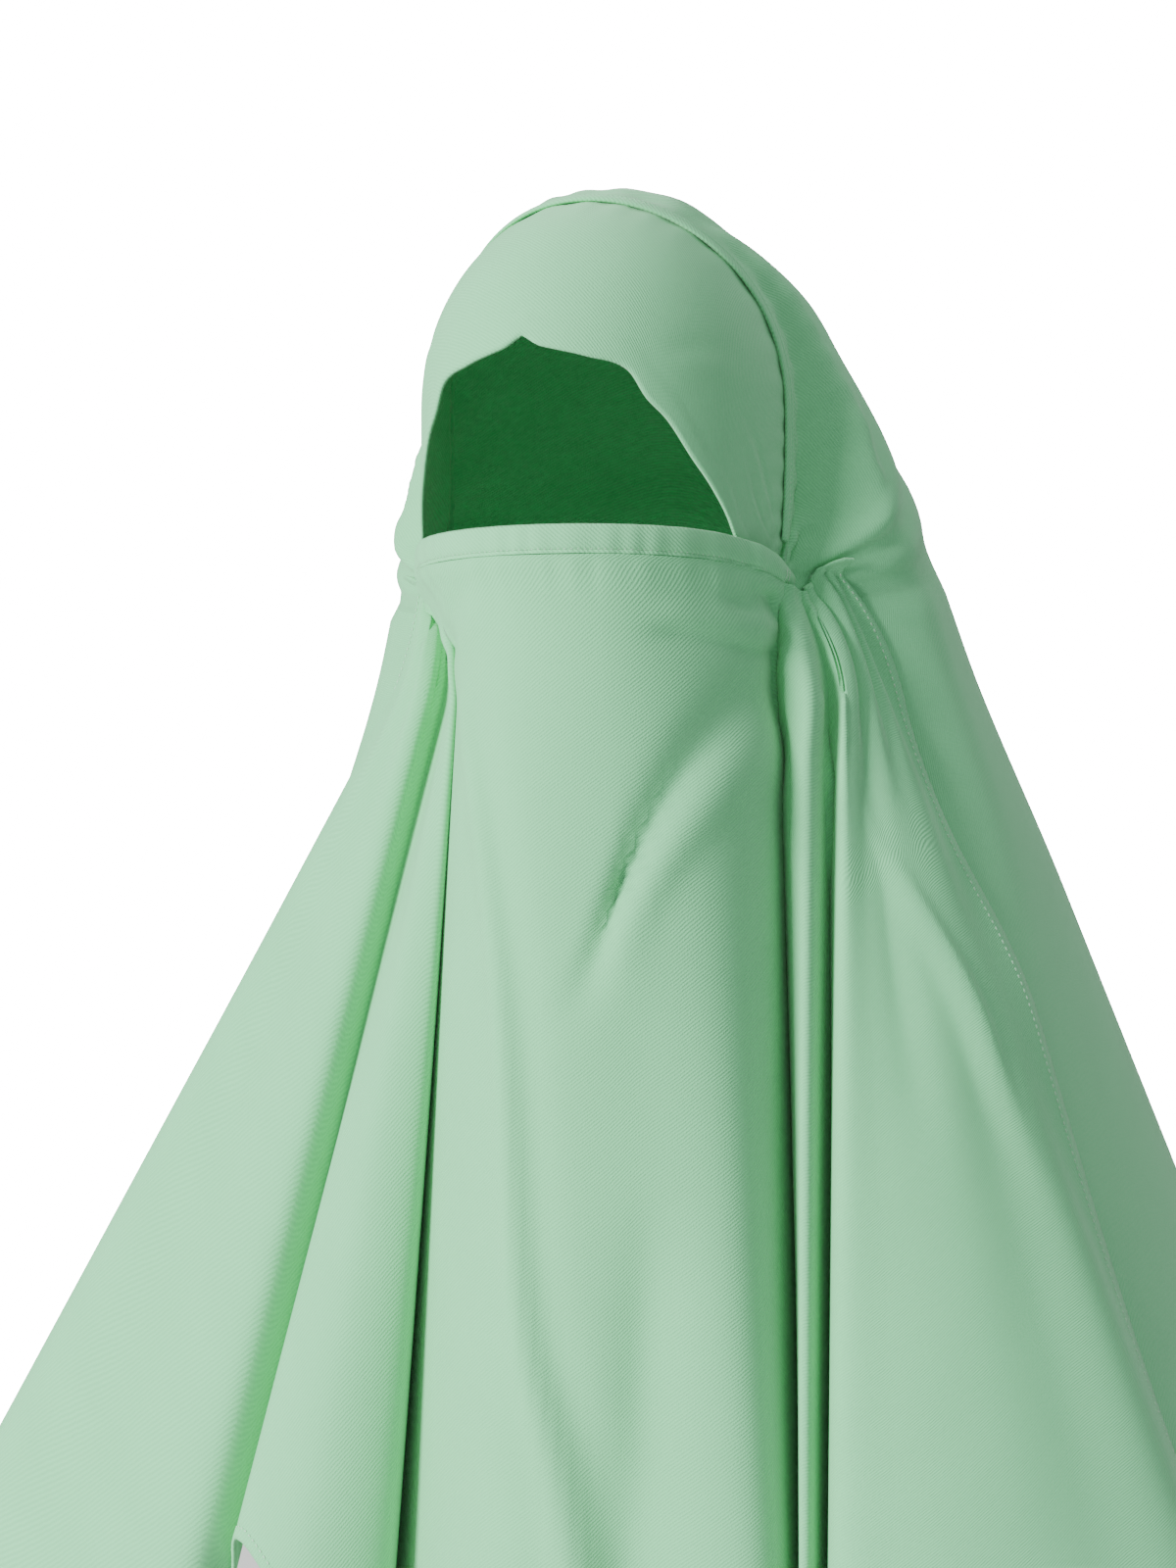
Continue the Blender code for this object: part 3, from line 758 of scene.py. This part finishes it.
# One row for each ridge and valley from the right ear to the left ear of the wearer. Turn at the
# gathered top in degrees, then the place at the neck and at hem level as shares of half width and
# reach, and the hem's drop as a share of the front length.
FOLD_ROWS = (
    # name, top_turn, neck_side, neck_front, hem_side, hem_front, hem_drop
    ("outer edge, right", -100, -0.86, 0.08, -0.95, -0.22, 0.915),
    ("outer ridge, right", -97, -0.83, 0.17, -1.00, 0.36, 0.940),
    ("soft valley, right", -93, -0.69, 0.36, -0.68, 0.71, 0.950),
    ("inner ridge, right", -90, -0.61, 0.40, -0.50, 0.80, 0.940),
    ("outer slot, right", -85, -0.58, 0.29, -0.46, 0.64, 0.900),
    ("strip rim, right", -78, -0.43, 0.50, -0.43, 0.85, 0.851),
    ("strip ridge, right", -70, -0.40, 0.64, -0.31, 0.90, 0.885),
    ("strip inner rim, right", -60, -0.36, 0.71, -0.22, 0.70, 0.925),
    ("inner slot, right", -55, -0.37, 0.66, -0.29, 0.24, 0.945),
    ("cheek, right", -40, -0.25, 0.85, -0.17, 0.62, 0.975),
    ("centre ridge", -8, -0.04, 0.99, 0.02, 0.99, 1.000),
    ("centre hollow", 25, 0.29, 0.93, 0.20, 0.88, 0.995),
    ("shoulder ridge, left", 52, 0.55, 0.65, 0.31, 0.88, 0.980),
    ("veil rim, left", 70, 0.65, 0.40, 0.31, 0.56, 0.970),
    ("veil slot, left", 80, 0.66, 0.19, 0.29, 0.28, 0.955),
    ("strip rim, left", 82, 0.72, 0.28, 0.32, 0.62, 0.955),
    ("strip ridge, left", 85, 0.78, 0.31, 0.345, 0.88, 0.955),
    ("strip valley, left", 87, 0.82, 0.13, 0.343, 0.50, 0.950),
    ("inner ridge, left", 89, 0.89, 0.19, 0.40, 0.96, 0.955),
    ("soft valley, left", 91.5, 0.90, 0.11, 0.48, 0.97, 0.950),
    ("outer ridge, left", 94, 0.94, 0.04, 0.66, 0.80, 0.940),
    ("side, left", 97, 0.97, -0.05, 0.84, 0.39, 0.925),
    ("outer edge, left", 100, 0.98, -0.16, 0.83, 0.10, 0.915),
)

# Dents and short creases of the middle of the veil, each a valley with a soft ridge beside it
VEIL_CREASES = (
    # name, start_x, start_drop, end_x, end_drop, width, depth
    ("cheek dent", 0.078, 0.171, 0.071, 0.178, 0.0055, 0.0024),
    ("cheek crease", 0.050, 0.188, 0.077, 0.194, 0.0040, 0.0016),
    ("nose side, right", -0.030, 0.172, -0.052, 0.200, 0.0050, 0.0009),
)

# Long folds of the middle of the veil: where each line runs, by drop and side, how far it stands out
# (or, if negative, lies in), and how wide it is
LONG_RIDGE = (
    # drop, side, rise, width
    (0.170, -0.052, 0.0000, 0.0060),
    (0.222, -0.031, 0.0020, 0.0050),
    (0.323, -0.009, 0.0032, 0.0050),
    (0.454, 0.0045, 0.0040, 0.0055),
    (0.514, 0.0210, 0.0044, 0.0070),
    (0.655, 0.0450, 0.0045, 0.0100),
)
PULL_FOLD = (
    # drop, side, rise, width
    (0.192, 0.084, -0.0012, 0.0120),
    (0.230, 0.064, -0.0042, 0.0085),
    (0.262, 0.049, -0.0056, 0.0058),
    (0.288, 0.039, -0.0064, 0.0040),
    (0.310, 0.032, -0.0034, 0.0046),
    (0.340, 0.022, 0.0000, 0.0090),
)
LOW_BAND = (
    # drop, side, rise, width
    (0.400, 0.054, 0.0000, 0.0100),
    (0.460, 0.052, -0.0032, 0.0110),
    (0.655, 0.048, -0.0050, 0.0140),
)

# Soft waves of the side cloths, placed by how far along the row of folds they run
SIDE_WAVES = (
    # name, at_fold, start_drop, end_drop, width, depth
    ("right, long", 1.6, 0.260, 0.620, 0.35, 0.0040),
    ("left, first", 19.6, 0.240, 0.420, 0.30, 0.0030),
    ("left, second", 20.5, 0.300, 0.640, 0.32, 0.0045),
)


def gather_point(turn):
    """Top edge of the front cloth: under the casing, then back over the ear."""
    if abs(turn) <= CASING_TURN:
        return face_point(turn, casing_line(turn, 1.0) + SEAM_GAP / 2)
    side = math.copysign(1.0, turn)
    end = face_point(side * CASING_TURN, casing_line(CASING_TURN, 1.0) + 2 * SEAM_GAP)
    share = (abs(turn) - CASING_TURN) / (GATHER_TURN - CASING_TURN)
    back = GATHER_WIDTH * share
    lift = GATHER_RISE * ease((share - 0.25) * 2.0)
    return end + Vector((side * back * GATHER_FLARE, back, lift))


def over_cape(point):
    """The same point, moved out where it would sink into the cape."""
    drop = -point.z
    away = Vector((point.x, point.y + EAR_SET_FORWARD, 0.0))
    angle = math.atan2(away.y, abs(away.x))
    lead = side_lead(drop)
    fade = ease((angle + lead + EDGE_MARGIN) / EDGE_MARGIN * 1.5)
    if fade == 0.0 or drop < EAR_DROP - EAR_GATHER:
        return point
    gathered = EAR_GATHER / 2 * (1.0 - ease((drop - EAR_DROP) / EAR_GATHER))
    least = cape_reach(max(angle, -lead), drop - gathered) + WALL + DRAPE_CLEARANCE
    shortage = least - away.length
    if abs(shortage) < DRAPE_SOFTNESS:
        shortage = (shortage + DRAPE_SOFTNESS) ** 2 / (4 * DRAPE_SOFTNESS)
    away = away.normalized() * (away.length + max(shortage, 0.0) * fade)
    return Vector((away.x, away.y - EAR_SET_FORWARD, point.z))


def fold_point(row, share):
    """One ridge or valley of the front cloth, from its gathered top to the hem."""
    _, top_turn, neck_side, neck_front, hem_side, hem_front, hem_drop = row
    top = gather_point(math.radians(top_turn))
    drop = blend(-top.z, FRONT_LENGTH * hem_drop, share)
    neck = Vector((NECK_HALF_WIDTH * neck_side, -NECK_REACH * neck_front, 0.0))
    low = Vector((HEM_HALF_WIDTH * hem_side, -HEM_REACH * hem_front, 0.0))
    steady = (low - neck) / (HEM_LEVEL - NECK_DROP)
    if drop >= NECK_DROP:
        place = neck + steady * (drop - NECK_DROP)
    else:
        height = NECK_DROP + top.z
        at = drop + top.z
        start = Vector((top.x, top.y, 0.0))
        quick = (neck - start) * (2.0 / height) - steady
        place = start + quick * at + (steady - quick) * (at * at / (2.0 * height))
    return Vector((place.x, place.y, -drop))


def smooth_through(points, steps):
    """A curve through the points, with a number of steps between each pair."""
    lengths = [(after - before).length for before, after in zip(points, points[1:])]
    slopes = []
    for index, point in enumerate(points):
        if index == 0:
            slopes.append((points[1] - point) / lengths[0])
        elif index == len(points) - 1:
            slopes.append((point - points[index - 1]) / lengths[-1])
        else:
            before = (point - points[index - 1]) / lengths[index - 1]
            after = (points[index + 1] - point) / lengths[index]
            share = lengths[index - 1] / (lengths[index - 1] + lengths[index])
            slopes.append(before.lerp(after, share))
    curve = []
    for index, count in enumerate(steps):
        for step in range(count):
            share = step / count
            length = lengths[index]
            curve.append(
                points[index] * ((1 + 2 * share) * (1 - share) ** 2)
                + slopes[index] * (length * share * (1 - share) ** 2)
                + points[index + 1] * (share**2 * (3 - 2 * share))
                - slopes[index + 1] * (length * share**2 * (1 - share))
            )
    curve.append(points[-1])
    return curve


def crease_relief(point):
    """How far a point of the veil's middle lies back in, from the tension folds and dents."""
    if point.y > -0.02:
        return 0.0
    relief = 0.0
    place = Vector((point.x, -point.z))
    for _, start_x, start_drop, end_x, end_drop, width, depth in VEIL_CREASES:
        start, end = Vector((start_x, start_drop)), Vector((end_x, end_drop))
        line = end - start
        along = (place - start).dot(line) / line.length_squared
        beside = ((place.x - start.x) * line.y - (place.y - start.y) * line.x) / line.length
        fade = ease((along + 0.25) / 0.4) * ease((1.25 - along) / 0.4)
        relief += depth * fade * (bell(beside, width) - 0.55 * bell(beside - 2.0 * width, 1.3 * width))
    for line in (LONG_RIDGE, PULL_FOLD, LOW_BAND):
        drop = -point.z
        if line[0][0] < drop < line[-1][0]:
            side, rise, width = (read_rows(line, column, drop) for column in (1, 2, 3))
            beside = point.x - side
            relief -= rise * (bell(beside, width) - 0.45 * bell(beside - 2.2 * width, 1.5 * width))
    return relief


def front_shape():
    """Rows of points of the front cloth, from the gathered top to the hem."""
    low = [fold_point(row, 1.0) for row in FOLD_ROWS]
    steps = [max(6, round((after - before).length / FOLD_STEP)) for before, after in zip(low, low[1:])]
    folds = []
    for index, count in enumerate(steps):
        folds += [index + step / count for step in range(count)]
    folds.append(len(FOLD_ROWS) - 1)
    turns = []
    for fold in folds:
        index = min(int(fold), len(FOLD_ROWS) - 2)
        turns.append(math.radians(blend(FOLD_ROWS[index][1], FOLD_ROWS[index + 1][1], fold - index)))
    edge = [gather_point(turn) for turn in turns]
    rows = []
    for share in shares_with_hem(FRONT_RINGS, FRONT_LENGTH - CASING_DROP, 1.5):
        curve = smooth_through([fold_point(row, share) for row in FOLD_ROWS], steps)
        near_top = bell(share, 0.012)
        row = []
        for column, point in enumerate(curve):
            if share == 0.0:
                point = edge[column]
            else:
                point = point.lerp(Vector((edge[column].x, edge[column].y, point.z)), near_top * 0.9)
            outward = Vector((point.x, point.y, 0.0)).normalized()
            turn, fold = turns[column], folds[column]
            fall = -point.z - casing_line(turn, 1.0)
            relief = -crease_relief(point)
            if share > 0.0:
                pucker = math.cos(CASING_PUCKERS * turn + 1.3 * math.sin(11.0 * turn))
                relief += TOP_PUCKER_DEPTH * pucker * bell(fall - 0.004, 0.010) * ease(fall / 0.003)
            past_ear = (abs(turn) - CASING_TURN) / (GATHER_TURN - CASING_TURN)
            if past_ear > 0.0:
                pleat = math.cos(2 * math.pi * PLEAT_COUNT * past_ear)
                fade = bell(edge[column].z - point.z, PLEAT_FALL) * ease(past_ear * 4.0)
                relief += PLEAT_DEPTH * pleat * fade
            for _, at_fold, start_drop, end_drop, width, depth in SIDE_WAVES:
                fade = ease((-point.z - start_drop) / 0.08) * ease((end_drop + point.z) / 0.10)
                relief -= depth * fade * bell(fold - at_fold, width)
            above_hem = (1.0 - share) * (FRONT_LENGTH - CASING_DROP) - HEM_WIDTH
            relief += HEM_RISE * (1.0 - ease(above_hem / HEM_STEP))
            row.append(over_cape(point + outward * relief))
        rows.append(row)
    return rows


front_rows = [row[::-1] for row in front_shape()]
front = sew("front_cloth", front_rows, body_crepe, WALL)
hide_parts("front_veil")

# Hem stitching
# A single row of thread holds each narrow turned-up hem, and runs round the front cloth's side edges.
HEM_STITCH_PITCH = 0.0030


def cloth_path(rows, places):
    """A path over a sheet and its outward direction at each place of (ring, column)."""
    path, ways = [], []
    last_ring, last_column = len(rows) - 1, len(rows[0]) - 1
    for ring, column in places:
        across = rows[ring][min(column + 1, last_column)] - rows[ring][max(column - 1, 0)]
        down = rows[min(ring + 1, last_ring)][column] - rows[max(ring - 1, 0)][column]
        outward = across.cross(down).normalized()
        centre = Vector((0.0, 0.05, rows[ring][column].z))
        if outward.dot(rows[ring][column] - centre) < 0.0:
            outward = -outward
        path.append(rows[ring][column] + outward * (WALL + STITCH_LIFT))
        ways.append(outward)
    return path, ways


def hem_stitches(name, rows, places):
    path, ways = cloth_path(rows, places)
    return stitch_row(name, path, lambda index, place: ways[index], HEM_STITCH_PITCH)


HEM_RING = -5
front_ring = len(front_rows) + HEM_RING
cape_ring = len(hood_rows) + HEM_RING
hem_stitches("front_hem_stitches", front_rows, [(front_ring, column) for column in range(len(front_rows[0]))])
hem_stitches("cape_hem_stitches", hood_rows, [(cape_ring, column) for column in range(len(hood_rows[0]))])
for side, column in (("left", 1), ("right", len(front_rows[0]) - 2)):
    places = [(ring, column) for ring in range(6, front_ring + 1)]
    hem_stitches("front_edge_stitches_" + side, front_rows, places)

# Bar tacks
# Short dense rows of thread at each ear fix the casing's end, the gathers and the hood together.
TACK_PITCH = 0.0009
TACK_STEPS = 8
TACK_LIFT = STITCH_WIDTH * 0.2
TACK_ROWS = (
    # name, turn, start_low, end_low
    ("casing end", 82.0, 0.15, 0.95),
    ("casing end, second", 80.5, 0.20, 0.90),
)
for name, turn, start_low, end_low in TACK_ROWS:
    for side, sign in (("left", 1.0), ("right", -1.0)):
        lows = [blend(start_low, end_low, step / TACK_STEPS) for step in range(TACK_STEPS + 1)]
        path = [casing_point(sign * math.radians(turn), low, WALL + TACK_LIFT) for low in lows]
        stitch_row(name.replace(",", "").replace(" ", "_") + "_tack_" + side, path,
                   lambda index, place: Vector((place.x, place.y, 0.0)), TACK_PITCH, TACK_PITCH * 1.1)
